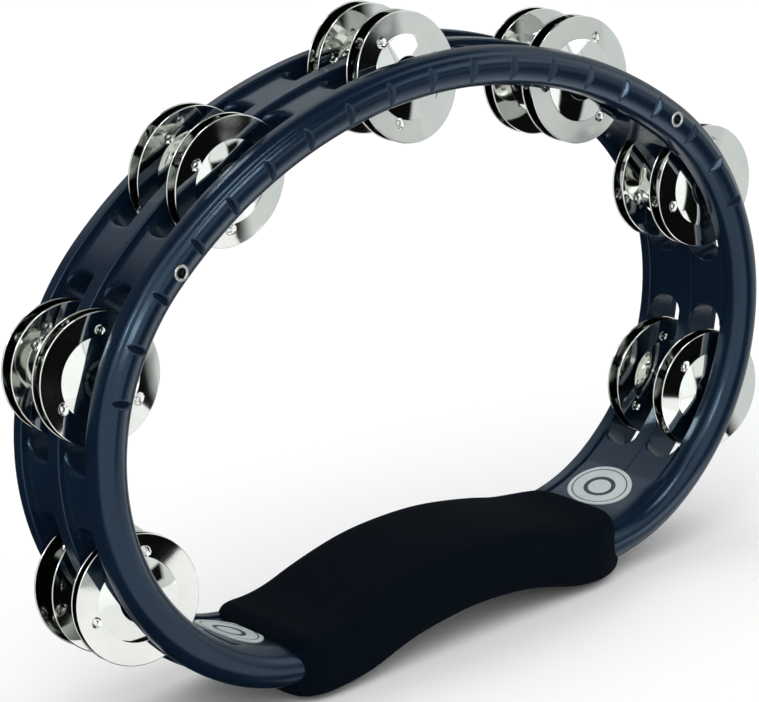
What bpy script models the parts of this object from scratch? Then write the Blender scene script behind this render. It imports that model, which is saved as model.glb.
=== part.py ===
"""Hand-held tambourine without a head: double row of steel jingles, foam grip sleeve.

Lengths below are in millimetres. The ring's axis runs along Y, its notched front rim looks
towards -Y, its rear rim towards +Y, and the grip is at the bottom (-Z).
"""
import bisect
import math

import bmesh
import bpy
from mathutils import Vector

MM = 0.001

# Outline of the ring: tangent arcs from the top, right half, each (radius, turn in degrees).
# The left half mirrors it. The last arc bends the other way: the grip bows inwards.
TOP_Z = 197.62
TOP_RADIUS, TOP_TURN = 170.0, 40.0
SIDE_RADIUS, SIDE_TURN = 84.5, 108.4
CORNER_RADIUS, CORNER_TURN = 68.0, 49.4
SWEEP_STEP = 8.6

# Section of the ring: depth along Y, with the front rim's crest the furthest forward.
FRONT_CREST_Y = -24.65
REAR_FACE_Y = 24.85
SLOT_FRONT = (-15.85, -0.9)
SLOT_REAR = (4.85, 20.1)
WEB_STEP = 0.4

# Notched ridge on the front rim.
NOTCH_COUNT = 19
NOTCH_PITCH = 17.66
EYELET_GAP = 2.9
EYELET_AFTER = 6
NOTCH_HALF_WIDTH = 1.9
NOTCH_DEPTH = 2.1
RIDGE_FADE = (160.0, 186.0)

# Jingle stations, numbered 1 to 7 from the lower left, over the top, to the lower right.
STATIONS = 7
STATION_PITCH = 78.4
END_STATION_EXTRA = 2.1
PIN_OFFSET = -1.1
SLOT_LENGTH = 59.0
END_SLOT_LENGTH = 64.0
SLOT_CORNER = 6.5

# Pins, pushed in from the rear rim.
PIN_RADIUS = 1.30
PIN_CLEARANCE = 0.06
PIN_HEAD_RADIUS = 2.4
PIN_HEAD_DEPTH = 0.9
PIN_TIP_Y = -20.0
PIN_SEGMENTS = 10

# Jingles: pressed sheet discs, flat flange outside, raised centre, loose hole.
JINGLE_RADIUS = 22.0
JINGLE_SHEET = 0.8
JINGLE_HOLE = 2.6
JINGLE_BOSS_RADIUS = 13.6
JINGLE_FLANGE_RADIUS = 15.4
JINGLE_RISE = 1.3
JINGLE_SEGMENTS = 18

# Each station's four discs, front to rear: depth of the flange, and lean of the disc's axis
# sideways and upwards, as slopes. Loose discs settle wherever they were last shaken to.
JINGLE_REST = {
    1: ((-9.2, 0.15, -0.09), (-6.6, 0.15, -0.09), (8.0, -0.02, -0.06), (14.6, 0.15, -0.09)),
    2: ((-8.0, 0.07, -0.06), (-4.0, 0.07, -0.06), (8.1, 0.07, -0.06), (13.2, 0.07, -0.06)),
    3: ((-10.1, 0.0, 0.07), (-5.8, 0.0, 0.07), (10.4, 0.0, 0.07), (15.0, 0.0, 0.07)),
    4: ((-10.4, -0.07, -0.17), (-5.2, -0.07, -0.17), (10.4, -0.05, -0.05), (15.6, -0.05, -0.05)),
    5: ((-10.9, 0.0, -0.08), (-6.2, 0.0, -0.08), (9.9, 0.0, -0.01), (14.0, 0.0, -0.01)),
    6: ((-11.3, 0.03, 0.0), (-6.8, 0.03, 0.0), (7.4, 0.03, 0.0), (12.0, 0.03, 0.0)),
    7: ((-12.6, 0.09, -0.01), (-8.4, 0.09, -0.01), (10.8, 0.09, -0.01), (15.4, 0.09, -0.01)),
}
DISC_NAMES = ("front_{}_a", "front_{}_b", "rear_{}_a", "rear_{}_b")

# Eyelets set in the front ridge.
EYELET_RADIUS = 2.8
EYELET_BARREL = 2.2
EYELET_BORE = 1.75
EYELET_FLANGE = 0.45
EYELET_BARREL_DEPTH = 4.0
EYELET_SEAT_Y = -24.55

# Blank oval badges on the inner wall, their ends just under the grip.
BADGE_AT = 292.0
BADGE_HALF_LENGTH = 11.5
BADGE_HALF_WIDTH = 14.0
BADGE_Y = 2.5
BADGE_THICKNESS = 0.35
BADGE_FACE = -7.35
BADGE_COLUMNS = 14

# Foam sleeve.
GRIP_END = 301.0
GRIP_OUT = 11.2
GRIP_IN = -12.0
GRIP_FRONT = -28.6
GRIP_REAR = 28.6
GRIP_CORNER = 8.0
GRIP_CORNER_STEPS = 4
GRIP_FIT = 0.35
GRIP_STEP = 9.0

COLOURS = {
    "abs": ((0.012, 0.016, 0.032, 1.0), 0.0, 0.38),
    "foam": ((0.006, 0.007, 0.010, 1.0), 0.0, 0.92),
    "nickel": ((0.62, 0.61, 0.57, 1.0), 1.0, 0.12),
    "steel": ((0.55, 0.55, 0.55, 1.0), 1.0, 0.25),
    "badge": ((0.62, 0.65, 0.68, 1.0), 0.0, 0.35),
}


def clear_scene():
    for thing in list(bpy.data.objects):
        bpy.data.objects.remove(thing, do_unlink=True)


def material(name, finish):
    colour, metallic, roughness = COLOURS[finish]
    shader = bpy.data.materials.new(name)
    shader.use_nodes = True
    bsdf = shader.node_tree.nodes["Principled BSDF"]
    bsdf.inputs["Base Color"].default_value = colour
    bsdf.inputs["Metallic"].default_value = metallic
    bsdf.inputs["Roughness"].default_value = roughness
    shader.diffuse_color = colour
    return shader


def solid_mesh(name, points, faces):
    """Mesh from points in millimetres, with its faces turned outwards."""
    mesh = bpy.data.meshes.new(name)
    mesh.from_pydata([Vector(p) * MM for p in points], [], faces)
    shape = bmesh.new()
    shape.from_mesh(mesh)
    bmesh.ops.recalc_face_normals(shape, faces=shape.faces)
    shape.to_mesh(mesh)
    shape.free()
    return mesh


def add_mesh(name, points, faces, finish, location=(0, 0, 0), rotation=None):
    """New object from points in millimetres, placed at a location in millimetres."""
    mesh = solid_mesh(name, points, faces)
    thing = bpy.data.objects.new(name, mesh)
    bpy.context.scene.collection.objects.link(thing)
    thing.location = Vector(location) * MM
    if rotation is not None:
        thing.rotation_euler = rotation.to_euler()
    mesh.materials.append(material(name, finish))
    return thing


# ---------------------------------------------------------------- outline

def build_arcs():
    """Start point, heading, signed radius and length of each arc of the right half."""
    arcs = []
    x, z, heading = 0.0, TOP_Z, 0.0
    turns = [(TOP_RADIUS, TOP_TURN), (SIDE_RADIUS, SIDE_TURN), (CORNER_RADIUS, CORNER_TURN)]
    for radius, degrees in turns:
        turn = math.radians(degrees)
        arcs.append((x, z, heading, radius, radius * turn))
        x += radius * (math.sin(heading + turn) - math.sin(heading))
        z += radius * (math.cos(heading + turn) - math.cos(heading))
        heading += turn
    back = heading - math.pi
    radius = x / math.sin(back)
    arcs.append((x, z, heading, -radius, radius * back))
    return arcs


ARCS = build_arcs()
ARC_STARTS = [sum(arc[4] for arc in ARCS[:i]) for i in range(len(ARCS))]
HALF_LENGTH = sum(arc[4] for arc in ARCS)


def outline(s):
    """Point and outward normal (x, z, nx, nz) at arc length s from the top, + to the right."""
    side = -1.0 if s < 0 else 1.0
    along = min(abs(s), HALF_LENGTH)
    i = bisect.bisect_right(ARC_STARTS, along) - 1
    x, z, heading, radius, length = ARCS[i]
    turned = heading + (along - ARC_STARTS[i]) / radius
    x += radius * (math.sin(turned) - math.sin(heading))
    z += radius * (math.cos(turned) - math.cos(heading))
    return side * x, z, side * math.sin(turned), math.cos(turned)


def place(s, offset, y):
    x, z, nx, nz = outline(s)
    return (x + offset * nx, y, z + offset * nz)


def sweep_stops(limit, step):
    """Arc lengths from -limit to limit that include every change of arc."""
    stops = []
    edges = [e for e in ARC_STARTS if e < limit] + [limit]
    for low, high in zip(edges, edges[1:]):
        count = max(1, round((high - low) / step))
        stops += [low + (high - low) * i / count for i in range(count)]
    half = stops + [limit]
    return [-s for s in reversed(half[1:])] + half


def fade(value, low, high):
    t = min(1.0, max(0.0, (value - low) / (high - low)))
    return t * t * (3 - 2 * t)


def section(s):
    """Outline of the ring's wall at s: (offset, y) pairs, outside first, front to rear."""
    t = fade(abs(s), *RIDGE_FADE)
    ridge = 3.5 - 2.6 * t
    crest = FRONT_CREST_Y
    f0, f1 = SLOT_FRONT
    r0, r1 = SLOT_REAR
    step = WEB_STEP
    rear = REAR_FACE_Y
    outside = [
        (-0.3 - 0.9 * t, crest), (ridge - 1.2, crest + 0.4), (ridge, crest + 1.5),
        (ridge + 0.6, crest + 2.3), (5.3 - 0.5 * t, crest + 3.1), (6.3, crest + 4.8),
        (6.7, crest + 7.0), (6.7, f0), (4.9, f0 + step), (4.9, f1 - step), (6.7, f1),
        (6.7, r0), (4.9, r0 + step), (4.9, r1 - step), (6.9, r1), (7.0, rear - 0.9),
        (6.2, rear),
    ]
    inside = [
        (-7.2, rear), (-8.0, rear - 0.9), (-8.0, r1), (-7.1, r1 - step),
        (-7.1, f0 + step), (-6.4, f0), (-6.4, crest + 5.0), (-5.5, crest + 2.8),
        (-3.6, crest + 1.3),
    ]
    return outside + inside


def sweep(stops, profile, closed):
    """Points and faces of a profile swept along the outline; profile(s) gives (offset, y)."""
    points = []
    for s in stops:
        points += [place(s, offset, y) for offset, y in profile(s)]
    size = len(points) // len(stops)
    faces = []
    rings = len(stops)
    for i in range(rings if closed else rings - 1):
        a, b = i * size, ((i + 1) % rings) * size
        for j in range(size):
            k = (j + 1) % size
            faces.append((a + j, b + j, b + k, a + k))
    if not closed:
        faces.append(tuple(range(size)))
        faces.append(tuple(reversed(range((rings - 1) * size, rings * size))))
    return points, faces


# ---------------------------------------------------------------- stations

def station_s(number):
    k = number - (STATIONS + 1) // 2
    extra = END_STATION_EXTRA if abs(k) == 3 else 0.0
    return k * STATION_PITCH + math.copysign(extra, k)


def notch_s(k):
    gap = EYELET_GAP if abs(k) > EYELET_AFTER else 0.0
    return k * NOTCH_PITCH + math.copysign(gap, k)


def eyelet_s():
    return (notch_s(EYELET_AFTER) + notch_s(EYELET_AFTER + 1)) / 2


# ---------------------------------------------------------------- cutters

def cutter(name, points, faces, collection):
    thing = bpy.data.objects.new(name, solid_mesh(name, points, faces))
    collection.objects.link(thing)
    thing.hide_render = True
    thing.display_type = "WIRE"
    return thing


def prism(loop_low, loop_high):
    """Closed prism between two matching loops of points."""
    n = len(loop_low)
    faces = [tuple(reversed(range(n))), tuple(range(n, 2 * n))]
    for i in range(n):
        j = (i + 1) % n
        faces.append((i, j, n + j, n + i))
    return list(loop_low) + list(loop_high), faces


def rounded_loop(half_length, low, high, corner, steps=4):
    """Rounded rectangle in (s, y), counter-clockwise."""
    centres = [
        (half_length - corner, high - corner, 0), (-half_length + corner, high - corner, 90),
        (-half_length + corner, low + corner, 180), (half_length - corner, low + corner, 270),
    ]
    loop = []
    for cx, cy, start in centres:
        for i in range(steps + 1):
            a = math.radians(start + 90 * i / steps)
            loop.append((cx + corner * math.cos(a), cy + corner * math.sin(a)))
    return loop


def slot_cutter(number, row, collection):
    s = station_s(number)
    x, z, nx, nz = outline(s)
    low, high = SLOT_FRONT if row == "front" else SLOT_REAR
    length = END_SLOT_LENGTH if number in (1, STATIONS) else SLOT_LENGTH
    loop = rounded_loop(length / 2, low + 0.2, high - 0.2, SLOT_CORNER)
    loops = []
    for depth in (-24.0, 24.0):
        loops.append([(x + nz * t + nx * depth, y, z - nx * t + nz * depth) for t, y in loop])
    points, faces = prism(*loops)
    return cutter("cut_slot_{}_{}".format(row, number), points, faces, collection)


def notch_cutter(k, collection):
    x, z, nx, nz = outline(notch_s(k))
    top = FRONT_CREST_Y - 1.0
    slope = NOTCH_HALF_WIDTH / NOTCH_DEPTH
    wide = slope * (NOTCH_DEPTH + 1.0)
    bottom = FRONT_CREST_Y + NOTCH_DEPTH
    loop = [(-wide, top), (wide, top), (0.35, bottom), (-0.35, bottom)]
    loops = []
    for depth in (-9.0, 4.3):
        loops.append([(x + nz * t + nx * depth, y, z - nx * t + nz * depth) for t, y in loop])
    points, faces = prism(*loops)
    return cutter("cut_notch_{}".format(k + 9), points, faces, collection)


def turned(profile, segments):
    """Closed turned body about Y from a closed (radius, y) profile."""
    points = []
    for i in range(segments):
        a = 2 * math.pi * i / segments
        points += [(r * math.cos(a), y, r * math.sin(a)) for r, y in profile]
    n = len(profile)
    faces = []
    for i in range(segments):
        a, b = i * n, ((i + 1) % segments) * n
        for j in range(n):
            k = (j + 1) % n
            faces.append((a + j, a + k, b + k, b + j))
    return points, faces


def turned_solid(profile, segments):
    """Turned body about Y that reaches the axis; profile is an open (radius, y) list."""
    points = []
    for i in range(segments):
        a = 2 * math.pi * i / segments
        points += [(r * math.cos(a), y, r * math.sin(a)) for r, y in profile]
    n = len(profile)
    faces = []
    for i in range(segments):
        a, b = i * n, ((i + 1) % segments) * n
        for j in range(n - 1):
            faces.append((a + j, a + j + 1, b + j + 1, b + j))
    faces.append(tuple(i * n for i in range(segments)))
    faces.append(tuple(i * n + n - 1 for i in reversed(range(segments))))
    return points, faces


def moved(points, centre):
    return [(p[0] + centre[0], p[1] + centre[1], p[2] + centre[2]) for p in points]


def pin_profile(clearance, head_clearance):
    shaft = PIN_RADIUS + clearance
    head = PIN_HEAD_RADIUS + head_clearance
    return [
        (shaft, PIN_TIP_Y - clearance), (shaft, REAR_FACE_Y - PIN_HEAD_DEPTH - clearance),
        (head, REAR_FACE_Y - PIN_HEAD_DEPTH - clearance), (head, REAR_FACE_Y - 0.1),
    ]


def bore_cutter(number, collection):
    profile = pin_profile(PIN_CLEARANCE, 0.3)
    profile[-1] = (profile[-1][0], REAR_FACE_Y + 2.0)
    points, faces = turned_solid(profile, PIN_SEGMENTS)
    centre = place(station_s(number), PIN_OFFSET, 0.0)
    return cutter("cut_pin_{}".format(number), moved(points, centre), faces, collection)


def eyelet_cutter(side, collection):
    profile = [
        (EYELET_RADIUS + 0.1, FRONT_CREST_Y - 2.0), (EYELET_RADIUS + 0.1, EYELET_SEAT_Y + 0.25),
        (EYELET_BARREL + 0.1, EYELET_SEAT_Y + 0.25),
        (EYELET_BARREL + 0.1, EYELET_SEAT_Y + EYELET_BARREL_DEPTH + 0.3),
    ]
    points, faces = turned_solid(profile, 12)
    centre = place(side * eyelet_s(), 0.0, 0.0)
    name = "cut_eyelet_{}".format("left" if side < 0 else "right")
    return cutter(name, moved(points, centre), faces, collection)


# ---------------------------------------------------------------- parts

def make_frame():
    stops = sweep_stops(HALF_LENGTH, SWEEP_STEP)[:-1]
    points, faces = sweep(stops, section, closed=True)
    frame = add_mesh("frame", points, faces, "abs")
    cutters = bpy.data.collections.new("cutters")
    bpy.context.scene.collection.children.link(cutters)
    for number in range(1, STATIONS + 1):
        slot_cutter(number, "front", cutters)
        slot_cutter(number, "rear", cutters)
        bore_cutter(number, cutters)
    for k in range(-(NOTCH_COUNT // 2), NOTCH_COUNT // 2 + 1):
        notch_cutter(k, cutters)
    for side in (-1, 1):
        eyelet_cutter(side, cutters)
    cut = frame.modifiers.new("cuts", "BOOLEAN")
    cut.operation = "DIFFERENCE"
    cut.operand_type = "COLLECTION"
    cut.collection = cutters
    cut.solver = "EXACT"
    return frame


def make_pin(number):
    points, faces = turned_solid(pin_profile(0.0, 0.0), PIN_SEGMENTS)
    centre = place(station_s(number), PIN_OFFSET, 0.0)
    return add_mesh("pin_{}".format(number), points, faces, "steel", centre)


def jingle_profile(dome):
    """Closed (radius, y) section of a disc whose raised centre points to -Y or +Y."""
    half = JINGLE_SHEET / 2
    rise = JINGLE_RISE
    hole, boss, flange, rim = (
        JINGLE_HOLE, JINGLE_BOSS_RADIUS, JINGLE_FLANGE_RADIUS, JINGLE_RADIUS)
    high = [(hole, rise + half), (boss + 0.2, rise + half), (flange + 0.2, half), (rim, half)]
    low = [(rim, -half), (flange - 0.2, -half), (boss - 0.2, rise - half), (hole, rise - half)]
    profile = high + low
    return [(r, dome * y) for r, y in profile]


def make_jingles(number):
    for index, (depth, sideways, upwards) in enumerate(JINGLE_REST[number]):
        dome = -1 if index % 2 == 0 else 1
        points, faces = turned(jingle_profile(dome), JINGLE_SEGMENTS)
        lean = Vector((sideways, 1.0, upwards)).normalized()
        turn = Vector((0, 1, 0)).rotation_difference(lean)
        name = "jingle_" + DISC_NAMES[index].format(number)
        centre = place(station_s(number), PIN_OFFSET, depth)
        add_mesh(name, points, faces, "nickel", centre, turn)


def make_eyelet(side):
    seat = EYELET_SEAT_Y
    profile = [
        (EYELET_BORE, seat - EYELET_FLANGE), (EYELET_BORE, seat + EYELET_BARREL_DEPTH),
        (EYELET_BARREL, seat + EYELET_BARREL_DEPTH), (EYELET_BARREL, seat),
        (EYELET_RADIUS, seat), (EYELET_RADIUS - 0.25, seat - EYELET_FLANGE),
    ]
    points, faces = turned(profile, 16)
    centre = place(side * eyelet_s(), 0.0, 0.0)
    name = "eyelet_left" if side < 0 else "eyelet_right"
    return add_mesh(name, points, faces, "steel", centre)


def make_badge(side):
    """Thin oval plate that follows the inner wall."""
    offsets = (BADGE_FACE, BADGE_FACE - BADGE_THICKNESS)
    points = []
    edge = [(BADGE_HALF_LENGTH, 0.0)]
    for i in range(1, BADGE_COLUMNS):
        a = math.pi * i / BADGE_COLUMNS
        edge.append((BADGE_HALF_LENGTH * math.cos(a), BADGE_HALF_WIDTH * math.sin(a)))
    edge.append((-BADGE_HALF_LENGTH, 0.0))
    for offset in offsets:
        for t, half in edge:
            for y in ((0.0,) if half == 0.0 else (-half, half)):
                points.append(place(side * (BADGE_AT + t), offset, BADGE_Y + y))
    size = len(points) // 2
    last = size - 1
    top = [(0, 1, 2)]
    for i in range(BADGE_COLUMNS - 2):
        a = 1 + 2 * i
        top.append((a, a + 2, a + 3, a + 1))
    top.append((last - 2, last, last - 1))
    rim = [0] + list(range(1, last, 2)) + [last] + list(range(last - 1, 0, -2))
    faces = list(top) + [tuple(size + i for i in reversed(f)) for f in top]
    for i, a in enumerate(rim):
        b = rim[(i + 1) % len(rim)]
        faces.append((a, size + a, size + b, b))
    return add_mesh("badge_left" if side < 0 else "badge_right", points, faces, "badge")


def grip_outer():
    """Rounded outer section of the sleeve, (offset, y)."""
    middle = (GRIP_OUT + GRIP_IN) / 2
    half = (GRIP_OUT - GRIP_IN) / 2
    loop = rounded_loop(half, GRIP_FRONT, GRIP_REAR, GRIP_CORNER, GRIP_CORNER_STEPS)
    return [(middle + t, y) for t, y in loop]


def grip_inner():
    """Section of the channel that the frame fills."""
    crest = FRONT_CREST_Y - GRIP_FIT
    rear = REAR_FACE_Y + GRIP_FIT
    low, high = -8.0 - GRIP_FIT, 7.0 + GRIP_FIT
    return [
        (high, rear), (low, rear), (low, FRONT_CREST_Y + 3.0), (-3.9, crest),
        (2.6, crest), (high, FRONT_CREST_Y + 3.4),
    ]


def grip_stops():
    inner = [s for s in sweep_stops(HALF_LENGTH, GRIP_STEP) if s > GRIP_END + 3.0]
    return [GRIP_END] + inner


def make_grip():
    """Foam tube: an outer skin and an inner channel joined at both ends."""
    right = grip_stops()
    runs = [(1, s) for s in right[:-1]] + [(1, HALF_LENGTH)]
    runs += [(-1, s) for s in reversed(right[:-1])]
    outer, inner = grip_outer(), grip_inner()
    shapes = []
    for loop in (outer, inner):
        shapes.append([[place(side * s, offset, y) for offset, y in loop] for side, s in runs])
    points = [p for rings in shapes for ring in rings for p in ring]
    n, m, rings = len(outer), len(inner), len(runs)
    start = n * rings
    faces = []
    for i in range(rings - 1):
        for j in range(n):
            k = (j + 1) % n
            faces.append((i * n + j, i * n + k, (i + 1) * n + k, (i + 1) * n + j))
        for j in range(m):
            k = (j + 1) % m
            a, b = start + i * m, start + (i + 1) * m
            faces.append((a + j, b + j, b + k, a + k))
    grip = add_mesh("foam_grip", points, faces, "foam")
    cap_ends(grip, n, m, rings)
    return grip


def cap_ends(grip, n, m, rings):
    """Closes the gap between the skin and the channel at each end."""
    shape = bmesh.new()
    shape.from_mesh(grip.data)
    open_edges = [e for e in shape.edges if len(e.link_faces) == 1]
    half = len(open_edges) // 2
    first = [e for e in open_edges if e.verts[0].co.x > 0]
    other = [e for e in open_edges if e.verts[0].co.x <= 0]
    assert len(first) == len(other) == half == n + m
    for edges in (first, other):
        bmesh.ops.triangle_fill(shape, edges=edges, use_beauty=True)
    bmesh.ops.recalc_face_normals(shape, faces=shape.faces)
    shape.to_mesh(grip.data)
    shape.free()


def main():
    clear_scene()
    make_frame()
    for number in range(1, STATIONS + 1):
        make_pin(number)
        make_jingles(number)
    for side in (-1, 1):
        make_eyelet(side)
        make_badge(side)
    make_grip()


main()
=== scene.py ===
"""Looks of a headless hand tambourine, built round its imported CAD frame.

Lengths are in millimetres unless a name says otherwise. Y is the ring's axis, the notched front
rim looks towards -Y, and the foam grip is at the bottom.
"""
import bisect
import math

import bmesh
import bpy
from mathutils import Matrix, Vector


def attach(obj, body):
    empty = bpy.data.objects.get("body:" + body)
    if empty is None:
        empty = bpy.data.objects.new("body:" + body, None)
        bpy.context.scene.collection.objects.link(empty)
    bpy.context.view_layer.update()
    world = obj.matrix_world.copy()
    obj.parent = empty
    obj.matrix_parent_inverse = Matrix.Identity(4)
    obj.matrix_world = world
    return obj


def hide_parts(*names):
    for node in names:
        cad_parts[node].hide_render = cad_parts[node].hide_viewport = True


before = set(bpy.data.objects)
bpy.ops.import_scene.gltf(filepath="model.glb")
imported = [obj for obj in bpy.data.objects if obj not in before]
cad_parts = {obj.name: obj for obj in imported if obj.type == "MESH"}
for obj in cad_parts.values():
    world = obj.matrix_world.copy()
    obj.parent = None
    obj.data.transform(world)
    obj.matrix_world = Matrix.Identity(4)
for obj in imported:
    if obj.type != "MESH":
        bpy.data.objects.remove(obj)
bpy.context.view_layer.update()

MM = 0.001
RING_BODY = "ring_body"

# Outline of the ring, as in the CAD part: tangent arcs from the top, (radius, turn in degrees).
TOP_Z = 197.62
ARC_TURNS = ((170.0, 40.0), (84.5, 108.4), (68.0, 49.4))

# Depths along Y of the rims and of the two rows of slots.
CREST_Y = -24.65
REAR_Y = 24.85
FRONT_ROW = (-15.65, -1.1)
REAR_ROW = (5.05, 19.9)

# Webs between the slots.
WEB_OUT = 4.9
WEB_IN = -7.0
WEB_ROLL_OUT = 2.2
WEB_ROLL_IN = 0.8
SLOT_LENGTH = 59.0
END_SLOT_LENGTH = 64.0
SLOT_CORNER = 6.5

# Notches across the front ridge, and the eyelets between two of them. An eyelet's roll has the
# radius of its middle, its half width and its height, and its barrel the inner and outer radius.
NOTCH_COUNT = 19
NOTCH_PITCH = 17.66
NOTCH_HALF = 1.5
NOTCH_DEPTH = 1.9
NOTCH_OUTER_END = 4.3
NOTCH_EDGE_SOFT = 0.11
NOTCH_ROOT_SOFT = 0.14
NOTCH_REACH_Y = CREST_Y + 4.0
EYELET_GAP = 2.9
EYELET_AFTER = 6
EYELET_SEAT_Y = -24.55
EYELET_BORE = 2.25
EYELET_ROLL = (2.27, 0.52, 0.42)
EYELET_BARREL = (1.7, 2.15)
EYELET_LENGTH = 3.6
EYELET_BORE_SPAN = (-30.0, -20.5)

# Arc lengths from the top between which the ridge rounds off towards the grip.
RIDGE_FADE = (160.0, 186.0)

# Distance between sections along the ring: notched rim, plain rims, webs.
RIM_STEP = 2.2
PLAIN_RIM_STEP = 2.0
WEB_STEP = 2.0

# Jingle stations, and their pins. A pin's head has a radius and a depth.
STATIONS = 7
STATION_PITCH = 78.4
END_STATION_EXTRA = 2.1
PIN_OFFSET = -1.1
PIN_RADIUS = 1.3
PIN_HEAD = (2.4, 0.9)
PIN_TIP_Y = -20.0

# How the discs of each station hang at rest, from the front one to the rear one: depth of the
# middle along Y, and slope of the disc's axis to the right and upwards.
JINGLE_REST = {
    1: ((-9.2, 0.15, -0.09), (-6.6, 0.15, -0.09), (8.0, -0.02, -0.06), (14.6, 0.15, -0.09)),
    2: ((-8.0, 0.07, -0.06), (-4.0, 0.07, -0.06), (8.1, 0.07, -0.06), (13.2, 0.07, -0.06)),
    3: ((-10.1, 0.0, 0.07), (-5.8, 0.0, 0.07), (10.4, 0.0, 0.07), (15.0, 0.0, 0.07)),
    4: ((-10.4, -0.07, -0.17), (-5.2, -0.07, -0.17), (10.4, -0.05, -0.05), (15.6, -0.05, -0.05)),
    5: ((-10.9, 0.0, -0.08), (-6.2, 0.0, -0.08), (9.9, 0.0, -0.01), (14.0, 0.0, -0.01)),
    6: ((-11.3, 0.03, 0.0), (-6.8, 0.03, 0.0), (7.4, 0.03, 0.0), (12.0, 0.03, 0.0)),
    7: ((-12.6, 0.09, -0.01), (-8.4, 0.09, -0.01), (10.8, 0.09, -0.01), (15.4, 0.09, -0.01)),
}
JINGLE_NAMES = ("jingle_front_{}_a", "jingle_front_{}_b", "jingle_rear_{}_a", "jingle_rear_{}_b")

# How far each disc is turned round its pin: the angle of its first dimple, in degrees.
JINGLE_TURN = {
    1: (72, 20, 100, 60), 2: (82, 40, 15, 75), 3: (146, 10, 122, 50), 4: (122, 60, 35, 80),
    5: (55, 95, 20, 70), 6: (-166, 30, 75, 110), 7: (131, 50, 88, 25),
}
JINGLE_RADIUS = 22.0
JINGLE_SHEET = 0.55
JINGLE_FACE = 0.4
JINGLE_SEGMENTS = 180

# Radii of a disc's zones, from the rim inwards: flange, step, dome, roll, cup, bore.
RIM_ROLL_AT = 21.65
FLANGE_INNER = 14.3
DOME_OUTER = 13.5
DOME_INNER = 6.6
CUP_RADIUS = 5.0
JINGLE_BORE = 2.6
FLANGE_SLOPE = 0.03
STEP_HEIGHT = 0.2
DOME_SLOPE = 0.128
CUP_DEPTH = 0.26
DIMPLE_AT = 15.9
DIMPLE_RADIUS = 1.9
DIMPLE_DEPTH = 0.5
PIP_HEIGHT = 0.34

# Slopes shown by the shading, (flange, dome): discs domed to the front, and to the rear. Two of
# the front ones have flatter flanges, and every disc turns a little more at its right edge.
FRONT_SLOPES = (0.10, 0.36)
REAR_SLOPES = (0.03, 0.15)
FLANGE_FULLNESS = {"jingle_front_5_a": 0.3, "jingle_front_1_a": 0.4}
JINGLE_BOW = 0.11

# Foam grip: its reach across the outline and along Y, the powers that square its section off,
# and for each end its arc length from the top and the radius of its corners.
GRIP_RANGE = (-12.0, 11.2)
GRIP_DEPTH = (-28.6, 28.6)
GRIP_END_ROLL = 9.0
GRIP_POWERS = (0.44, 0.32)
GRIP_LEFT = (300.0, 15.0)
GRIP_RIGHT = (303.5, 23.0)

# Plain inner wall on the grip's side, and the badges on it: offsets from the outline, arc length
# of a badge's middle from the top, and its half-axes along the ring and along Y.
INNER_FACE = -7.32
INNER_FACE_FADE = 12.0
BADGE_BACK = -7.35
BADGE_AT = 292.0
BADGE_HALF = (11.5, 14.0)
BADGE_Y = 2.5


# ---------------------------------------------------------------- outline of the ring

def build_arcs():
    """Start point, heading, signed radius and length of each arc of the right half."""
    arcs = []
    x, z, heading = 0.0, TOP_Z, 0.0
    for radius, degrees in ARC_TURNS:
        turn = math.radians(degrees)
        arcs.append((x, z, heading, radius, radius * turn))
        x += radius * (math.sin(heading + turn) - math.sin(heading))
        z += radius * (math.cos(heading + turn) - math.cos(heading))
        heading += turn
    back = heading - math.pi
    radius = x / math.sin(back)
    arcs.append((x, z, heading, -radius, radius * back))
    return arcs


ARCS = build_arcs()
ARC_STARTS = [sum(arc[4] for arc in ARCS[:i]) for i in range(len(ARCS))]
HALF_LENGTH = sum(arc[4] for arc in ARCS)


def outline(s):
    """Point and outward normal (x, z, nx, nz) at arc length s from the top, + to the right."""
    if s > HALF_LENGTH:
        s -= 2 * HALF_LENGTH
    if s < -HALF_LENGTH:
        s += 2 * HALF_LENGTH
    side = -1.0 if s < 0 else 1.0
    along = min(abs(s), HALF_LENGTH)
    i = bisect.bisect_right(ARC_STARTS, along) - 1
    x, z, heading, radius, length = ARCS[i]
    turned = heading + (along - ARC_STARTS[i]) / radius
    x += radius * (math.sin(turned) - math.sin(heading))
    z += radius * (math.cos(turned) - math.cos(heading))
    return side * x, z, side * math.sin(turned), math.cos(turned)


def place(s, offset, y):
    """Point at arc length s, at an offset outwards from the outline and a depth y."""
    x, z, nx, nz = outline(s)
    return (x + offset * nx, y, z + offset * nz)


def fade(value, low, high):
    """0 below low, 1 above high, and a smooth ramp between them."""
    t = min(1.0, max(0.0, (value - low) / (high - low)))
    return t * t * (3 - 2 * t)


def station_s(number):
    """Arc length of a jingle station."""
    k = number - (STATIONS + 1) // 2
    extra = END_STATION_EXTRA if abs(k) == 3 else 0.0
    return k * STATION_PITCH + math.copysign(extra, k)


def notch_s(k):
    """Arc length of notch k, counted from the top."""
    gap = EYELET_GAP if abs(k) > EYELET_AFTER else 0.0
    return k * NOTCH_PITCH + math.copysign(gap, k)


def eyelet_s():
    return (notch_s(EYELET_AFTER) + notch_s(EYELET_AFTER + 1)) / 2


# ---------------------------------------------------------------- mesh helpers

def link_object(name, mesh):
    thing = bpy.data.objects.new(name, mesh)
    bpy.context.scene.collection.objects.link(thing)
    return thing


def new_object(name, points, faces):
    """Object from points in millimetres, with outward normals and smooth shading."""
    mesh = bpy.data.meshes.new(name)
    mesh.from_pydata([Vector(p) * MM for p in points], [], faces)
    shape = bmesh.new()
    shape.from_mesh(mesh)
    bmesh.ops.remove_doubles(shape, verts=shape.verts, dist=1e-7)
    bmesh.ops.recalc_face_normals(shape, faces=shape.faces)
    for face in shape.faces:
        face.smooth = True
    shape.to_mesh(mesh)
    shape.free()
    return link_object(name, mesh)


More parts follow.
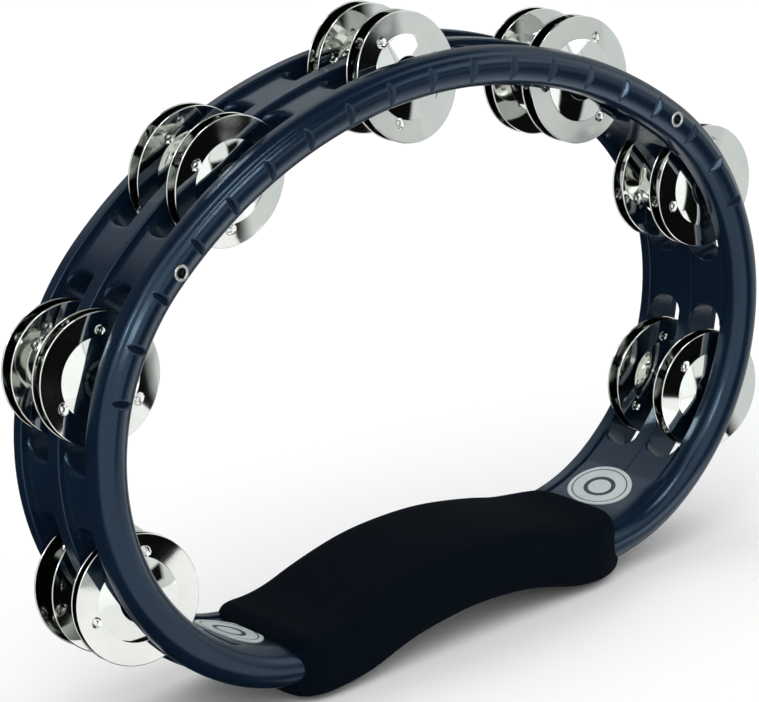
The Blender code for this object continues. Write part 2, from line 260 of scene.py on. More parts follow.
def weight_normals(thing):
    """Even shading across flat faces next to small roundings."""
    even = thing.modifiers.new("even_shading", "WEIGHTED_NORMAL")
    even.keep_sharp = True
    even.weight = 60


def rounded(corners, steps):
    """Closed outline through corners (a, b, radius), each rounded off over its radius."""
    loop = []
    count = len(corners)
    for i, (x, y, radius) in enumerate(corners):
        ax, ay = corners[i - 1][:2]
        bx, by = corners[(i + 1) % count][:2]
        back, ahead = math.hypot(ax - x, ay - y), math.hypot(bx - x, by - y)
        ta, tb = min(radius, 0.48 * back) / back, min(radius, 0.48 * ahead) / ahead
        for j in range(steps + 1):
            u = j / steps
            wa, wb = (1 - u) ** 2 * ta, u * u * tb
            loop.append((x + wa * (ax - x) + wb * (bx - x), y + wa * (ay - y) + wb * (by - y)))
    return loop


def skin(rings, closed_rings=True, closed_along=False, caps=False):
    """Points and faces that join matching rings of points."""
    size = len(rings[0])
    points = [p for ring in rings for p in ring]
    faces = []
    count = len(rings)
    for i in range(count if closed_along else count - 1):
        a, b = i * size, ((i + 1) % count) * size
        for j in range(size if closed_rings else size - 1):
            k = (j + 1) % size
            faces.append((a + j, b + j, b + k, a + k))
    if caps:
        faces.append(tuple(range(size)))
        faces.append(tuple(reversed(range((count - 1) * size, count * size))))
    return points, faces


def turned(name, profile, segments, x, z, closed=False):
    """Object turned round an axis along Y at (x, z), from a (radius, y) profile."""
    rings = []
    for i in range(segments):
        a = 2 * math.pi * i / segments
        rings.append([(r * math.cos(a), y, r * math.sin(a)) for r, y in profile])
    points, faces = skin(rings, closed_rings=closed, closed_along=True)
    return new_object(name, [(x + p[0], p[1], z + p[2]) for p in points], faces)


def apply_modifiers(thing):
    graph = bpy.context.evaluated_depsgraph_get()
    done = bpy.data.meshes.new_from_object(thing.evaluated_get(graph))
    thing.modifiers.clear()
    thing.data = done


def bore_out(thing, centres, radius, span):
    """Round holes along Y in a closed mesh."""
    front, rear = span
    profile = [(0.0, front), (radius, front), (radius, rear), (0.0, rear)]
    drills = [turned("drill", profile, 24, x, z) for x, _, z in centres]
    for drill in drills:
        hole = thing.modifiers.new("hole", "BOOLEAN")
        hole.object = drill
        hole.operation = "DIFFERENCE"
        hole.solver = "EXACT"
    apply_modifiers(thing)
    for drill in drills:
        bpy.data.objects.remove(drill, do_unlink=True)


def finish_piece(thing, shader, node):
    """Gives a piece of the ring's body its material, hangs it on the body and hides the CAD part
    it stands for.
    """
    thing.data.materials.append(shader)
    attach(thing, RING_BODY)
    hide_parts(node)


# ---------------------------------------------------------------- the moulded ring

def stops_along(step, fine_at=(), fine_half=2.0, fine_step=0.2):
    """Arc lengths round the whole ring, closer together near the points in fine_at."""
    stops = []
    s = -HALF_LENGTH
    while s < HALF_LENGTH - 0.3 * step:
        stops.append(s)
        near = any(abs(s + 0.5 * fine_step - f) < fine_half for f in fine_at)
        s += fine_step if near else step
        if not near:
            ahead = [f - fine_half for f in fine_at if stops[-1] < f - fine_half < s]
            s = ahead[0] if ahead else s
    return stops


def notch_floor(s, spots):
    """Depth y that the nearest notch is cut to at s: a V with a rounded root."""
    t = min(abs(s - spot) for spot in spots)
    slope = NOTCH_DEPTH / NOTCH_HALF
    return CREST_Y + NOTCH_DEPTH - slope * (math.sqrt(t * t + 0.02) - NOTCH_ROOT_SOFT)


def front_section(s):
    """Section of the front rim: ridge, channel and shoulder, rounding off towards the grip."""
    c = CREST_Y
    low = FRONT_ROW[0]
    ridged = [
        (-0.3, c, 1.7), (2.3, c + 0.4, 0.9), (3.5, c + 1.5, 0.6), (4.1, c + 2.3, 0.6),
        (5.3, c + 3.1, 0.9), (6.3, c + 4.8, 1.2), (6.7, c + 7.0, 1.4), (6.7, low, 0.7),
        (-6.4, low, 0.6), (-6.4, c + 5.0, 1.4), (-5.5, c + 2.8, 1.2), (-3.6, c + 1.3, 1.6)]
    rounded_off = [
        (-0.9, c, 1.5), (1.2, c + 0.1, 1.2), (2.9, c + 0.7, 1.2), (4.3, c + 1.7, 1.2),
        (5.4, c + 3.1, 1.2), (6.3, c + 5.0, 1.3), (6.7, c + 7.2, 1.4), (6.7, low, 0.7),
        (-6.4, low, 0.6), (-6.4, c + 5.2, 1.6), (-5.3, c + 2.5, 1.6), (-3.3, c + 0.7, 1.6)]
    t = fade(abs(s), *RIDGE_FADE)
    return rounded([tuple(a + (b - a) * t for a, b in zip(p, q))
                    for p, q in zip(ridged, rounded_off)], 5)


def front_rim():
    """Ridged front rim with its notches, and a bore for each eyelet."""
    half = NOTCH_COUNT // 2
    spots = [notch_s(k) for k in range(-half, half + 1)]
    rings = []
    for s in stops_along(RIM_STEP, spots):
        floor = notch_floor(s, spots)
        ring = []
        for offset, y in front_section(s):
            if y < NOTCH_REACH_Y and offset < NOTCH_OUTER_END:
                y += NOTCH_EDGE_SOFT * math.log1p(
                    math.exp(min(40.0, (floor - y) / NOTCH_EDGE_SOFT)))
            ring.append(place(s, offset, y))
        rings.append(ring)
    rim = new_object("front_rim", *skin(rings, closed_along=True))
    centres = [place(s, 0.0, 0.0) for s in (-eyelet_s(), eyelet_s())]
    bore_out(rim, centres, EYELET_BORE, EYELET_BORE_SPAN)
    return rim


def plain_rim(name, corners):
    """Rim of one section all the way round."""
    section = rounded(corners, 5)
    rings = [[place(s, offset, y) for offset, y in section] for s in stops_along(PLAIN_RIM_STEP)]
    return new_object(name, *skin(rings, closed_along=True))


def middle_rim():
    low, high = FRONT_ROW[1], REAR_ROW[0]
    return plain_rim("middle_rim", [
        (6.7, low, 0.7), (6.7, high, 0.7), (-7.1, high, 0.6), (-7.1, low, 0.6)])


def rear_rim():
    """Flat rear rim, with a counterbore for each pin's head."""
    low = REAR_ROW[1]
    rim = plain_rim("rear_rim", [
        (6.9, low, 0.7), (7.0, REAR_Y - 0.9, 0.9), (6.2, REAR_Y, 0.9), (-7.2, REAR_Y, 0.9),
        (-8.0, REAR_Y - 0.9, 0.9), (-8.0, low, 0.6)])
    centres = [place(station_s(n), PIN_OFFSET, 0.0) for n in range(1, STATIONS + 1)]
    bore_out(rim, centres, PIN_HEAD[0] + 0.3, (REAR_Y - PIN_HEAD[1] - 0.1, REAR_Y + 2.0))
    return rim


def inner_face():
    """Plain inner wall round the grip side, where the moulding has no slots."""
    start = station_s(STATIONS) + END_SLOT_LENGTH / 2 + 4.0
    span = 2 * (HALF_LENGTH - start)
    rings = []
    count = 120
    for i in range(count + 1):
        run = span * i / count
        inner = INNER_FACE + 1 - fade(min(run, span - run), 0.0, INNER_FACE_FADE)
        loop = rounded([(inner, -16.6, 3.0), (inner, REAR_Y - 4.4, 3.0),
                        (-6.1, REAR_Y - 1.2, 0.3), (-5.6, REAR_Y - 1.6, 0.1),
                        (-5.6, -19.6, 0.1), (-6.1, -20.3, 0.3)], 4)
        rings.append([place(start + run, offset, y) for offset, y in loop])
    return new_object("inner_face", *skin(rings, caps=True))


def slot_end(s_end, side, row, angle):
    """Point (s, y) on the rounded end of a slot, and the direction out of the slot."""
    low, high = row
    c = SLOT_CORNER
    middle = low + c if angle < 0 else high - c
    across, along = math.sin(angle), side * math.cos(angle)
    return (s_end - side * c + c * along, middle + c * across), (along, across)


def web(name, start, end, row):
    """Block between two slots; the slots' ends are rounded in plan and roll over its faces."""
    rows = 18
    spans = max(3, round((end - start) / WEB_STEP))
    quarter = [math.radians(a) for a in (0, 15, 30, 45, 60, 75, 90)]
    rings = []
    for i in range(rows + 1):
        angle = math.radians(-90 + 180 * i / rows)
        ends = [slot_end(start, 1, row, angle), slot_end(end, -1, row, angle)]
        left, right = [], []
        for (point, out), path in zip(ends, (left, right)):
            for a in reversed(quarter):
                d = WEB_ROLL_IN * (1 - math.cos(a))
                path.append((point[0] + out[0] * d, point[1] + out[1] * d,
                             WEB_IN + WEB_ROLL_IN * (1 - math.sin(a))))
            for a in quarter:
                d = WEB_ROLL_OUT * (1 - math.cos(a))
                path.append((point[0] + out[0] * d, point[1] + out[1] * d,
                             WEB_OUT - WEB_ROLL_OUT * (1 - math.sin(a))))
        ring = list(left)
        for j in range(1, spans):
            t = j / spans
            ring.append(tuple(p + (q - p) * t for p, q in zip(left[-1], right[-1])))
        ring += list(reversed(right))
        for j in range(1, spans):
            t = j / spans
            ring.append(tuple(p + (q - p) * t for p, q in zip(right[0], left[0])))
        rings.append([place(s, offset, y) for s, y, offset in ring])
    return new_object(name, *skin(rings, caps=True))


def slot_half(number):
    return (END_SLOT_LENGTH if number in (1, STATIONS) else SLOT_LENGTH) / 2


def webs():
    """The blocks between the slots of both rows; the last of each row runs under the grip."""
    made = []
    for label, row in (("front", FRONT_ROW), ("rear", REAR_ROW)):
        for number in range(1, STATIONS + 1):
            after = number % STATIONS + 1
            start = station_s(number) + slot_half(number)
            end = station_s(after) - slot_half(after)
            if end < start:
                end += 2 * HALF_LENGTH
            made.append(web("web_{}_{}".format(label, number), start, end, row))
    return made


def join(name, things):
    """One object from several closed shells of the same moulding."""
    shape = bmesh.new()
    for thing in things:
        shape.from_mesh(thing.data)
        bpy.data.objects.remove(thing, do_unlink=True)
    mesh = bpy.data.meshes.new(name)
    shape.to_mesh(mesh)
    shape.free()
    return link_object(name, mesh)


def make_ring(shader):
    ring = join("ring", [front_rim(), middle_rim(), rear_rim(), inner_face()] + webs())
    ring.data.shade_smooth()
    ring.data.set_sharp_from_angle(angle=math.radians(42))
    weight_normals(ring)
    finish_piece(ring, shader, "frame")


# ---------------------------------------------------------------- jingles

def jingle_front(r):
    """Height of a disc's outer face over its rim's middle, at radius r."""
    if r > FLANGE_INNER:
        return JINGLE_FACE + FLANGE_SLOPE * (JINGLE_RADIUS - r)
    foot = JINGLE_FACE + FLANGE_SLOPE * (JINGLE_RADIUS - FLANGE_INNER)
    if r > DOME_OUTER:
        return foot + STEP_HEIGHT * fade(FLANGE_INNER - r, 0.0, FLANGE_INNER - DOME_OUTER)
    dome = foot + STEP_HEIGHT + DOME_SLOPE * (DOME_OUTER - max(r, DOME_INNER))
    return dome - CUP_DEPTH * (1 - fade(r, CUP_RADIUS, DOME_INNER))


def jingle_slope(r, flange, dome):
    """Slope shown by the shading: a little fuller than the sheet's, as on a spun disc."""
    if r > FLANGE_INNER:
        return flange
    if r > DOME_OUTER:
        return dome + 0.04
    if r > DOME_INNER:
        return dome * (1 - 0.45 * (DOME_OUTER - r) / (DOME_OUTER - DOME_INNER))
    if r > CUP_RADIUS:
        return -0.22
    return 0.0


def dimple(r, angle):
    """Sink of the three pressed dimples, each with a raised pip."""
    sink = 0.0
    for k in range(3):
        a = angle - 2 * math.pi * k / 3
        a = (a + math.pi) % (2 * math.pi) - math.pi
        if abs(a) > 0.3:
            continue
        d = math.hypot(r * math.cos(a) - DIMPLE_AT, r * math.sin(a))
        bowl = 1.0 - fade(d, 0.55 * DIMPLE_RADIUS, DIMPLE_RADIUS)
        pip = 1.0 - fade(d, 0.0, 0.42 * DIMPLE_RADIUS)
        sink += DIMPLE_DEPTH * bowl - PIP_HEIGHT * pip
    return sink


def jingle_radii():
    """Radii of the rings of points on a face, close together at the rolls and the dimples."""
    radii = [JINGLE_BORE, 2.72, 3.0, 3.8, 4.6, CUP_RADIUS, 5.3, 5.6, 5.9, 6.2, DOME_INNER]
    radii += [7.2, 8.0, 8.8, 9.6, 10.4, 11.2, 12.0, 12.6, 13.0, DOME_OUTER]
    radii += [DOME_OUTER + 0.27 * i for i in range(1, 18)]
    radii += [18.9, 19.9, 20.8, 21.3, RIM_ROLL_AT]
    return radii


def jingle_normal(r, angle, flange, dome):
    """Shading normal of the outer face, the dimples included."""
    dr, da = 0.02, 0.0015
    along = jingle_slope(r, flange, dome)
    along += (dimple(r + dr, angle) - dimple(r - dr, angle)) / (2 * dr)
    across = (dimple(r, angle + da) - dimple(r, angle - da)) / (2 * da * r)
    cos, sin = math.cos(angle), math.sin(angle)
    return Vector((along * cos - across * sin, -1.0, along * sin + across * cos)).normalized()


def make_jingle_model(flange, dome):
    """Points, shading normals and faces of a pressed disc, cup and dome towards -Y."""
    radii = jingle_radii()
    half = JINGLE_SHEET / 2
    edge = -(jingle_front(RIM_ROLL_AT) - half)
    rings, normals = [], []
    for i in range(JINGLE_SEGMENTS):
        a = 2 * math.pi * i / JINGLE_SEGMENTS
        cos, sin = math.cos(a), math.sin(a)
        outer = [(r, -(jingle_front(r) - dimple(r, a))) for r in radii]
        lip = [(21.85, edge - 0.8 * half), (21.97, edge - 0.4 * half), (JINGLE_RADIUS, edge),
               (21.97, edge + 0.4 * half), (21.85, edge + 0.8 * half)]
        inner = [(r, min(y + JINGLE_SHEET, JINGLE_FACE)) for r, y in reversed(outer)]
        rings.append([(r * cos, y, r * sin) for r, y in outer + lip + inner])
        shown = [jingle_normal(r, a, flange, dome) for r in radii]
        normals += shown + [Vector((0, 0, 0))] * len(lip) + [-n for n in reversed(shown)]
    points, faces = skin(rings, closed_along=True)
    return points, normals, faces


def make_jingle(name, model, where, shader):
    """One disc, its place and lean already in its mesh."""
    points, normals, faces = model
    turn = where.to_3x3()
    mesh = bpy.data.meshes.new(name)
    mesh.from_pydata([where @ (Vector(p) * MM) for p in points], [], faces)
    shape = bmesh.new()
    shape.from_mesh(mesh)
    bmesh.ops.recalc_face_normals(shape, faces=shape.faces)
    shape.to_mesh(mesh)
    shape.free()
    for face in mesh.polygons:
        face.use_smooth = True
    middle = where.translation.x
    reach = JINGLE_RADIUS * MM
    shown = []
    for vertex, normal in zip(mesh.vertices, normals):
        normal = turn @ normal
        right = max(0.0, (vertex.co.x - middle) / reach)
        normal.x += JINGLE_BOW * right * right * -normal.y
        shown.append(normal)
    mesh.normals_split_custom_set_from_vertices(shown)
    mesh.materials.append(shader)
    return link_object(name, mesh)


def make_jingles(shader):
    """The four discs of each station, each riding its own body."""
    flange, dome = FRONT_SLOPES
    to_front = make_jingle_model(flange, dome)
    to_rear = make_jingle_model(*REAR_SLOPES)
    special = {node: make_jingle_model(flange * factor, dome)
               for node, factor in FLANGE_FULLNESS.items()}
    flip = Matrix.Rotation(math.pi, 4, "Z")
    for number in range(1, STATIONS + 1):
        for index, (depth, sideways, upwards) in enumerate(JINGLE_REST[number]):
            node = JINGLE_NAMES[index].format(number)
            lean = Vector((sideways, 1.0, upwards)).normalized()
            turn = Vector((0, 1, 0)).rotation_difference(lean).to_matrix().to_4x4()
            spin = Matrix.Rotation(-math.radians(JINGLE_TURN[number][index]), 4, "Y")
            centre = Vector(place(station_s(number), PIN_OFFSET, depth)) * MM
            facing = flip if index % 2 else Matrix.Identity(4)
            where = Matrix.Translation(centre) @ turn @ spin @ facing
            model = special.get(node, to_rear if index % 2 else to_front)
            disc = make_jingle(node.replace("jingle", "disc"), model, where, shader)
            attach(disc, node)
            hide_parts(node)


# ---------------------------------------------------------------- pins, eyelets, badges

def make_pins(shader):
    """Straight pins with small heads sunk in the rear rim."""
    radius, (head, depth) = PIN_RADIUS, PIN_HEAD
    profile = [
        (0.0, PIN_TIP_Y), (0.9, PIN_TIP_Y), (radius, PIN_TIP_Y + 0.5),
        (radius, REAR_Y - depth), (head - 0.15, REAR_Y - depth), (head, REAR_Y - depth + 0.15),
        (head, REAR_Y - 0.45), (head - 0.35, REAR_Y - 0.16), (1.2, REAR_Y - 0.1),
        (0.0, REAR_Y - 0.1)]
    for number in range(1, STATIONS + 1):
        x, _, z = place(station_s(number), PIN_OFFSET, 0.0)
        pin = turned("rod_{}".format(number), profile, 32, x, z)
        weight_normals(pin)
        finish_piece(pin, shader, "pin_{}".format(number))


def make_eyelets(shader):
    """Hollow rivets: rolled flange on the ridge, barrel into its bore."""
    seat, foot = EYELET_SEAT_Y, EYELET_SEAT_Y + EYELET_LENGTH
    centre, half_width, height = EYELET_ROLL
    inner, outer = EYELET_BARREL
    roll = [(centre + half_width * math.cos(a), seat - 0.02 - height * math.sin(a))
            for a in [math.radians(d) for d in range(0, 181, 15)]]
    profile = roll + [(inner, seat + 0.6), (inner, foot), (outer, foot),
                      (outer, seat + 0.1), (2.74, seat + 0.1)]
    for side, name in ((-1, "eyelet_left"), (1, "eyelet_right")):
        x, _, z = place(side * eyelet_s(), 0.0, 0.0)
        rivet = turned("rivet_" + name[7:], profile, 48, x, z, closed=True)
        finish_piece(rivet, shader, name)


def make_badges(shader, ink):
    """Thin oval plates on the inner wall, each printed with two plain ovals."""
    half_s, half_y = BADGE_HALF
    # Each row of points: share of the oval's half-axes, height over the badge's back.
    rows = ((0.02, 0.36), (0.2, 0.36), (0.36, 0.36), (0.50, 0.36), (0.65, 0.36), (0.83, 0.36),
            (0.87, 0.36), (0.955, 0.36), (0.985, 0.33), (1.0, 0.22), (1.0, -0.6))
    printed = (2, 5)
    count = 72
    for side, name in ((-1, "badge_left"), (1, "badge_right")):
        rings = []
        for scale, height in rows:
            ring = []
            for i in range(count):
                a = 2 * math.pi * i / count
                ring.append(place(side * (BADGE_AT + half_s * scale * math.cos(a)),
                                  BADGE_BACK - height, BADGE_Y + half_y * scale * math.sin(a)))
            rings.append(ring)
        plate = new_object("plate_" + name[6:], *skin(rings, caps=True))
        finish_piece(plate, shader, name)
        plate.data.materials.append(ink)
        for face in plate.data.polygons:
            face.material_index = int(face.index // count in printed)


# ---------------------------------------------------------------- foam grip

def quarter_inset(run, radius):
    """How far a quarter-round edge is drawn in, at a run from its start."""
    left = max(0.0, 1.0 - run / radius)
    return radius * (1 - math.sqrt(max(0.0, 1 - left * left)))


def grip_section(thin, narrow):
    """Outer section of the foam sleeve, drawn in by thin across and by narrow in depth."""
    low, high = GRIP_RANGE
    front, rear = GRIP_DEPTH
    middle = (low + high) / 2
    half, depth = (high - low) / 2 - thin, (rear - front) / 2 - narrow
    across, deep = GRIP_POWERS
    loop = []
    count = 120
    for i in range(count):
        a = 2 * math.pi * i / count
        u = math.copysign(abs(math.cos(a)) ** across, math.cos(a))
        v = math.copysign(abs(math.sin(a)) ** deep, math.sin(a))
        loop.append((middle + half * u, depth * v))
    return loop


def make_grip(shader):
    """Foam sleeve, pulled on over the ring: crowned faces and soft, rolled ends."""
    (left, left_corner), (right, right_corner) = GRIP_LEFT, GRIP_RIGHT
    span = 2 * HALF_LENGTH - left - right
    steps, count = 24, 70
    eased = [1 - math.cos(math.radians(90 * i / steps)) for i in range(steps + 1)]
    plain = span - left_corner - right_corner
    runs = [right_corner * e for e in eased]
    runs += [right_corner + plain * i / count for i in range(1, count)]
    runs += [span - left_corner * e for e in reversed(eased)]
    rings = []
    for run in runs:
        end, corner = min((run, right_corner), (span - run, left_corner))
        sway = 0.12 * math.sin(run * 0.09) + 0.08 * math.sin(run * 0.21 + 1.0)
        thin = 0.25 - sway + quarter_inset(end, GRIP_END_ROLL)
        loop = grip_section(thin, 0.2 + quarter_inset(end, corner))
        rings.append([place(right + run, offset, y) for offset, y in loop])
    sleeve = new_object("sleeve", *skin(rings, caps=True))
    finish_piece(sleeve, shader, "foam_grip")


# ---------------------------------------------------------------- materials

class Nodes:
    """Short way to write a shader's node tree."""

    def __init__(self, name):
        self.shader = bpy.data.materials.new(name)
        self.shader.use_nodes = True
        self.tree = self.shader.node_tree
        self.bsdf = self.tree.nodes["Principled BSDF"]
        self.place = self.add("ShaderNodeTexCoord").outputs["Object"]

    def add(self, kind, **values):
        node = self.tree.nodes.new(kind)
        for key, value in values.items():
            setattr(node, key, value)
        return node

    def link(self, source, target):
        self.tree.links.new(source, target)

    def noise(self, scale, detail=3.0, rough=0.55):
        node = self.add("ShaderNodeTexNoise")
        node.inputs["Scale"].default_value = scale
        node.inputs["Detail"].default_value = detail
        node.inputs["Roughness"].default_value = rough
        self.link(self.place, node.inputs["Vector"])
        return node.outputs["Fac"]

    def tones(self, source, low, high, socket="Base Color", span=(0.3, 0.7)):
        """Colour that runs from low to high over a span of the source, into a socket."""
        node = self.add("ShaderNodeValToRGB")
        for stop, position, colour in zip(node.color_ramp.elements, span, (low, high)):
            stop.position, stop.color = position, (*colour, 1.0)
        self.link(source, node.inputs["Fac"])
        self.link(node.outputs["Color"], self.bsdf.inputs[socket])

    def span(self, source, low, high):
        node = self.add("ShaderNodeMapRange")
        node.inputs["To Min"].default_value = low
        node.inputs["To Max"].default_value = high
        self.link(source, node.inputs["Value"])
        return node.outputs["Result"]

    def bump(self, source, strength, distance_mm, before=None):
        node = self.add("ShaderNodeBump")
        node.inputs["Strength"].default_value = strength
        node.inputs["Distance"].default_value = distance_mm * MM
        self.link(source, node.inputs["Height"])
        if before is not None:
            self.link(before, node.inputs["Normal"])
        return node.outputs["Normal"]

    def set(self, **values):
        for key, value in values.items():
            self.bsdf.inputs[key.replace("_", " ")].default_value = value


def grey(value):
    return (value, value, value)


def plastic():
    """Dark navy ABS with a fine moulded grain."""
    n = Nodes("moulded_abs")
    broad = n.noise(26.0, 2.0)
    n.tones(broad, (0.0028, 0.0086, 0.0205), (0.0040, 0.0118, 0.0268))
    grain = n.noise(1500.0, 4.0, 0.65)
    coarse = n.noise(420.0, 3.0, 0.6)
    n.link(n.span(coarse, 0.15, 0.27), n.bsdf.inputs["Roughness"])
    first = n.bump(grain, 0.5, 0.05)
    n.link(n.bump(coarse, 0.4, 0.07, first), n.bsdf.inputs["Normal"])
    n.set(IOR=1.5, Specular_Tint=(0.52, 0.74, 1.0, 1.0))
    return n.shader


def foam():
    """Near-black closed-cell foam: fine pores and no gloss."""
    n = Nodes("foam")
    broad = n.noise(45.0, 3.0)
    cells = n.noise(850.0, 4.0, 0.7)
    n.tones(cells, (0.0003, 0.0018, 0.0045), (0.0011, 0.0042, 0.0090), span=(0.35, 0.68))
    pores = n.noise(2600.0, 3.0, 0.7)
    n.link(n.span(pores, 0.86, 1.0), n.bsdf.inputs["Roughness"])
    first = n.bump(pores, 0.7, 0.12)
    n.link(n.bump(broad, 0.3, 0.5, first), n.bsdf.inputs["Normal"])
    n.bsdf.inputs["Specular IOR Level"].default_value = 0.06
    return n.shader


def nickel():
    """Bright nickel plate on pressed steel, with faint ripples and haze."""
    n = Nodes("bright_nickel")
    haze = n.noise(60.0, 4.0)
    n.tones(haze, (0.70, 0.715, 0.69), (0.79, 0.80, 0.77))
    n.link(n.span(haze, 0.03, 0.075), n.bsdf.inputs["Roughness"])
    ripple = n.noise(95.0, 1.0)
    fine = n.noise(900.0, 2.0)
    first = n.bump(ripple, 0.35, 0.12)
    n.link(n.bump(fine, 0.06, 0.02, first), n.bsdf.inputs["Normal"])
    n.set(Metallic=1.0)
    return n.shader


def steel():
    """Drawn steel of the pins and the eyelets."""
    n = Nodes("drawn_steel")
    haze = n.noise(400.0, 3.0)
    n.tones(haze, (0.50, 0.51, 0.50), (0.62, 0.62, 0.60))
    n.link(n.span(haze, 0.16, 0.3), n.bsdf.inputs["Roughness"])
    n.link(n.bump(haze, 0.2, 0.03), n.bsdf.inputs["Normal"])
    n.set(Metallic=1.0)
    return n.shader


def badge():
    """Pale grey plate."""
    n = Nodes("badge_print")
    haze = n.noise(120.0, 4.0)
    n.tones(haze, (0.44, 0.51, 0.51), (0.50, 0.57, 0.57))
    n.link(n.span(haze, 0.28, 0.4), n.bsdf.inputs["Roughness"])
    n.link(n.bump(haze, 0.1, 0.03), n.bsdf.inputs["Normal"])
    return n.shader


def badge_ink():
    """Dark print of the plain ovals."""
    n = Nodes("badge_ink")
    haze = n.noise(160.0, 3.0)
    n.tones(haze, (0.012, 0.018, 0.026), (0.022, 0.030, 0.040))
    n.link(n.span(haze, 0.3, 0.45), n.bsdf.inputs["Roughness"])
    return n.shader


# ---------------------------------------------------------------- stage, light, camera

# Heights of the floor and of the reflectors that lie on it, in metres.
FLOOR_HALF_M = 6.0
FLOOR_Z = -0.0002
SWEEP_Z = -0.0004
CARD_Z = -0.0003


def make_floor():
    mesh = bpy.data.meshes.new("floor")
    size = FLOOR_HALF_M
    mesh.from_pydata([(-size, -size, 0), (size, -size, 0), (size, size, 0), (-size, size, 0)],
                     [], [(0, 1, 2, 3)])
    floor = link_object("floor", mesh)
    floor.location.z = FLOOR_Z
    n = Nodes("floor_paint")
    n.tones(n.noise(3.0), grey(0.93), grey(0.95))
    n.set(Roughness=0.8)
    mesh.materials.append(n.shader)
    floor.visible_glossy = False


# White sheets under the object, seen only in its reflections: corners in metres. The card is
# the brighter one, under the right half.
SWEEP = ((-0.25, -0.32), (0.08, -0.32), (0.10, -0.19), (0.16, -0.19), (0.175, -0.13),
         (0.175, -0.045), (-0.25, -0.045))
SWEEP_GLOW = 1.15
CARD = ((0.10, -0.150), (0.155, -0.150), (0.155, -0.050), (0.10, -0.050))
CARD_GLOW = 2.4


def make_reflector(name, corners, height, glow):
    """Glowing sheet on the floor that only reflections see."""
    mesh = bpy.data.meshes.new(name)
    mesh.from_pydata([(x, y, height) for x, y in corners], [], [tuple(range(len(corners)))])
    sheet = link_object(name, mesh)
    n = Nodes(name + "_white")
    n.tones(n.noise(3.0), grey(0.9), grey(1.0), socket="Emission Color")
    n.set(Base_Color=(*grey(0.0), 1.0), Roughness=1.0, Emission_Strength=glow)
    n.bsdf.inputs["Specular IOR Level"].default_value = 0.0
    mesh.materials.append(n.shader)
    sheet.visible_camera = False
    sheet.visible_diffuse = False
    sheet.visible_shadow = False


# Studio seen in the reflections: soft boxes as (azimuth low, high, elevation low, high, soft
# edge, strength). Azimuth 0 is towards -Y, positive to the right; all in degrees.
STUDIO_DARK = 0.004
AMBIENT = 1.0
SOFT_BOXES = (
    (-80, 9.5, -34, 40, 2.5, 1.25),
    (9.5, 31, 1, 34, 2.5, 1.0),
    (31, 46, 10, 34, 2.5, 0.9),
    (33, 50, -11.5, -2.5, 2.0, 0.70),
    (45, 108, -60, 40, 5.0, 0.78),
    (-56, -46, 28, 38, 3.0, 22.0),
    (-22, 10, 56, 63, 4.0, 15.0),
    (-180, -108, 5, 60, 8.0, 0.16),
    (108, 180, 5, 60, 8.0, 0.40),
    (100, 180, -34, 4, 6.0, 0.55),
)


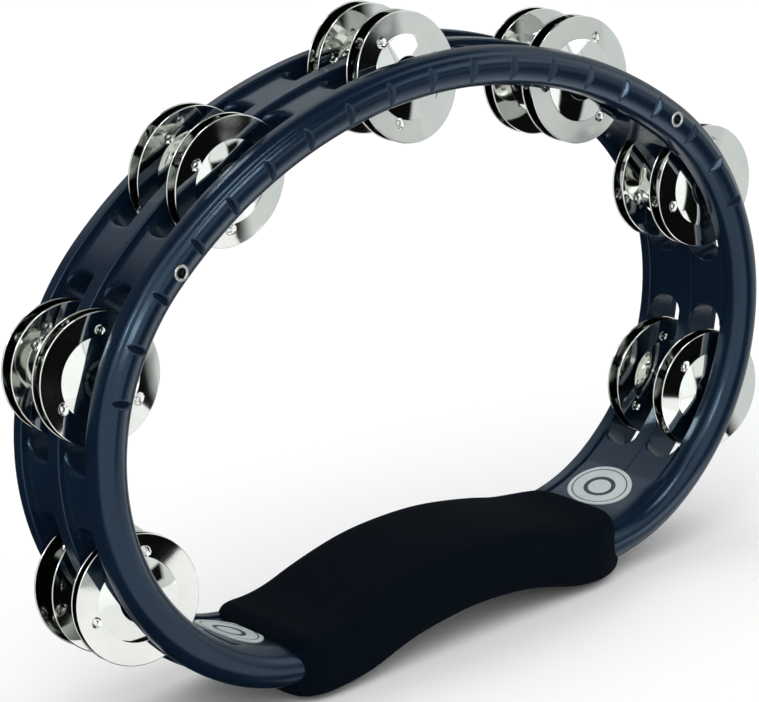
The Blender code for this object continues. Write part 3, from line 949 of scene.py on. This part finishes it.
def make_world():
    """Even light for diffuse rays, the soft boxes for reflections, white for the camera."""
    world = bpy.data.worlds.new("studio")
    bpy.context.scene.world = world
    world.use_nodes = True
    world.cycles.sampling_method = "NONE"
    tree = world.node_tree
    tree.nodes.clear()
    out = tree.nodes.new("ShaderNodeOutputWorld")

    def math_node(kind, a, b=None, c=None, clamp=False):
        node = tree.nodes.new("ShaderNodeMath")
        node.operation = kind
        node.use_clamp = clamp
        for socket, value in zip(node.inputs, (a, b, c)):
            if value is None:
                continue
            if isinstance(value, (int, float)):
                socket.default_value = value
            else:
                tree.links.new(value, socket)
        return node.outputs[0]

    where = tree.nodes.new("ShaderNodeTexCoord").outputs["Generated"]
    split = tree.nodes.new("ShaderNodeSeparateXYZ")
    tree.links.new(where, split.inputs[0])
    x, y, z = split.outputs
    azimuth = math_node("MULTIPLY", math_node("ARCTAN2", x, math_node("MULTIPLY", y, -1.0)),
                        180 / math.pi)
    elevation = math_node("MULTIPLY", math_node("ARCSINE", z), 180 / math.pi)

    def inside(value, low, high, soft):
        rise = math_node("MULTIPLY_ADD", value, 1 / soft, 0.5 - low / soft, clamp=True)
        fall = math_node("MULTIPLY_ADD", value, -1 / soft, 0.5 + high / soft, clamp=True)
        return math_node("MULTIPLY", rise, fall)

    level = STUDIO_DARK
    for a0, a1, e0, e1, soft, strength in SOFT_BOXES:
        window = math_node("MULTIPLY", inside(azimuth, a0, a1, soft),
                           inside(elevation, e0, e1, soft))
        level = math_node("MAXIMUM", level, math_node("MULTIPLY", window, strength))

    def background(value):
        node = tree.nodes.new("ShaderNodeBackground")
        node.inputs["Color"].default_value = (*grey(value), 1.0)
        return node

    studio = background(1.0)
    tint = tree.nodes.new("ShaderNodeCombineColor")
    tree.links.new(math_node("MULTIPLY", level, 0.955), tint.inputs[0])
    tree.links.new(level, tint.inputs[1])
    tree.links.new(math_node("MULTIPLY", level, 0.985), tint.inputs[2])
    tree.links.new(tint.outputs[0], studio.inputs["Color"])
    path = tree.nodes.new("ShaderNodeLightPath")

    def mix(factor, first, second):
        node = tree.nodes.new("ShaderNodeMixShader")
        tree.links.new(factor, node.inputs[0])
        tree.links.new(first, node.inputs[1])
        tree.links.new(second, node.inputs[2])
        return node.outputs[0]

    even = background(AMBIENT).outputs[0]
    seen = background(1.0).outputs[0]
    lit = mix(path.outputs["Is Glossy Ray"], even, studio.outputs[0])
    tree.links.new(mix(path.outputs["Is Camera Ray"], lit, seen), out.inputs["Surface"])


LAMP_TARGET = (0, 0, 0.1)


def area_light(name, place_m, size_m, watts):
    """Soft lamp aimed at the middle of the object."""
    data = bpy.data.lights.new(name, "AREA")
    data.shape = "RECTANGLE"
    data.size, data.size_y = size_m
    data.energy = watts
    lamp = link_object(name, data)
    lamp.location = place_m
    aim = Vector(LAMP_TARGET) - Vector(place_m)
    lamp.rotation_mode = "QUATERNION"
    lamp.rotation_quaternion = aim.to_track_quat("-Z", "Y")


def make_lights():
    area_light("key", (-0.9, -0.7, 1.5), (1.0, 1.0), 5.0)
    area_light("fill", (1.2, -0.9, 1.1), (1.0, 1.0), 2.5)
    area_light("back", (0.2, 1.4, 1.3), (1.4, 0.8), 2.0)


CAMERA_AT_M = (-0.69366, -0.87753, 0.47783)
CAMERA_DEGREES = (71.2495, 4.5812, -39.3552)
CAMERA_LENS = 164.17


def make_camera():
    """Camera at the photograph's place, fitted to the outlines of the rims and the discs."""
    data = bpy.data.cameras.new("camera")
    data.lens = CAMERA_LENS
    data.sensor_width = 36.0
    data.clip_start, data.clip_end = 0.05, 50.0
    camera = link_object("camera", data)
    camera.location = CAMERA_AT_M
    camera.rotation_euler = [math.radians(a) for a in CAMERA_DEGREES]
    bpy.context.scene.camera = camera


def set_colours():
    view = bpy.context.scene.view_settings
    view.view_transform = "Standard"
    view.look = "None"


def main():
    rod = steel()
    make_ring(plastic())
    make_jingles(nickel())
    make_pins(rod)
    make_eyelets(rod)
    make_badges(badge(), badge_ink())
    make_grip(foam())
    make_floor()
    make_reflector("sweep", SWEEP, SWEEP_Z, SWEEP_GLOW)
    make_reflector("card", CARD, CARD_Z, CARD_GLOW)
    make_world()
    make_lights()
    make_camera()
    set_colours()


main()
